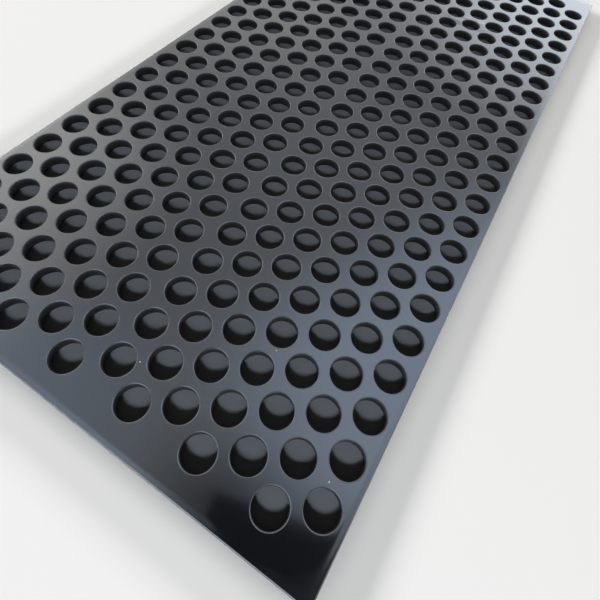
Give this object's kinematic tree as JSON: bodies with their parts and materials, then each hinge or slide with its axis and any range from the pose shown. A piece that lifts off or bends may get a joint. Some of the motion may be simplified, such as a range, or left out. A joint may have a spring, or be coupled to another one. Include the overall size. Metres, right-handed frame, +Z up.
{
  "type": "perforated plastic sheet",
  "caption": "Flat rigid black plastic sheet with a staggered field of round through holes, used as a drain floor, filter support, screen or guard panel.",
  "frame": {"origin": "middle of the sheet's underside", "axes": "+X across the sheet to its right edge as the picture shows it, +Y along its length to the far end, +Z up out of its top face"},
  "size_m": [0.25, 0.5, 0.006],
  "materials": {
    "black_plastic": "satin gloss, cut edges and hole walls as drilled"
  },
  "bodies": {
    "root": {"perforated_sheet": "black_plastic"}
  },
  "joints": []
}
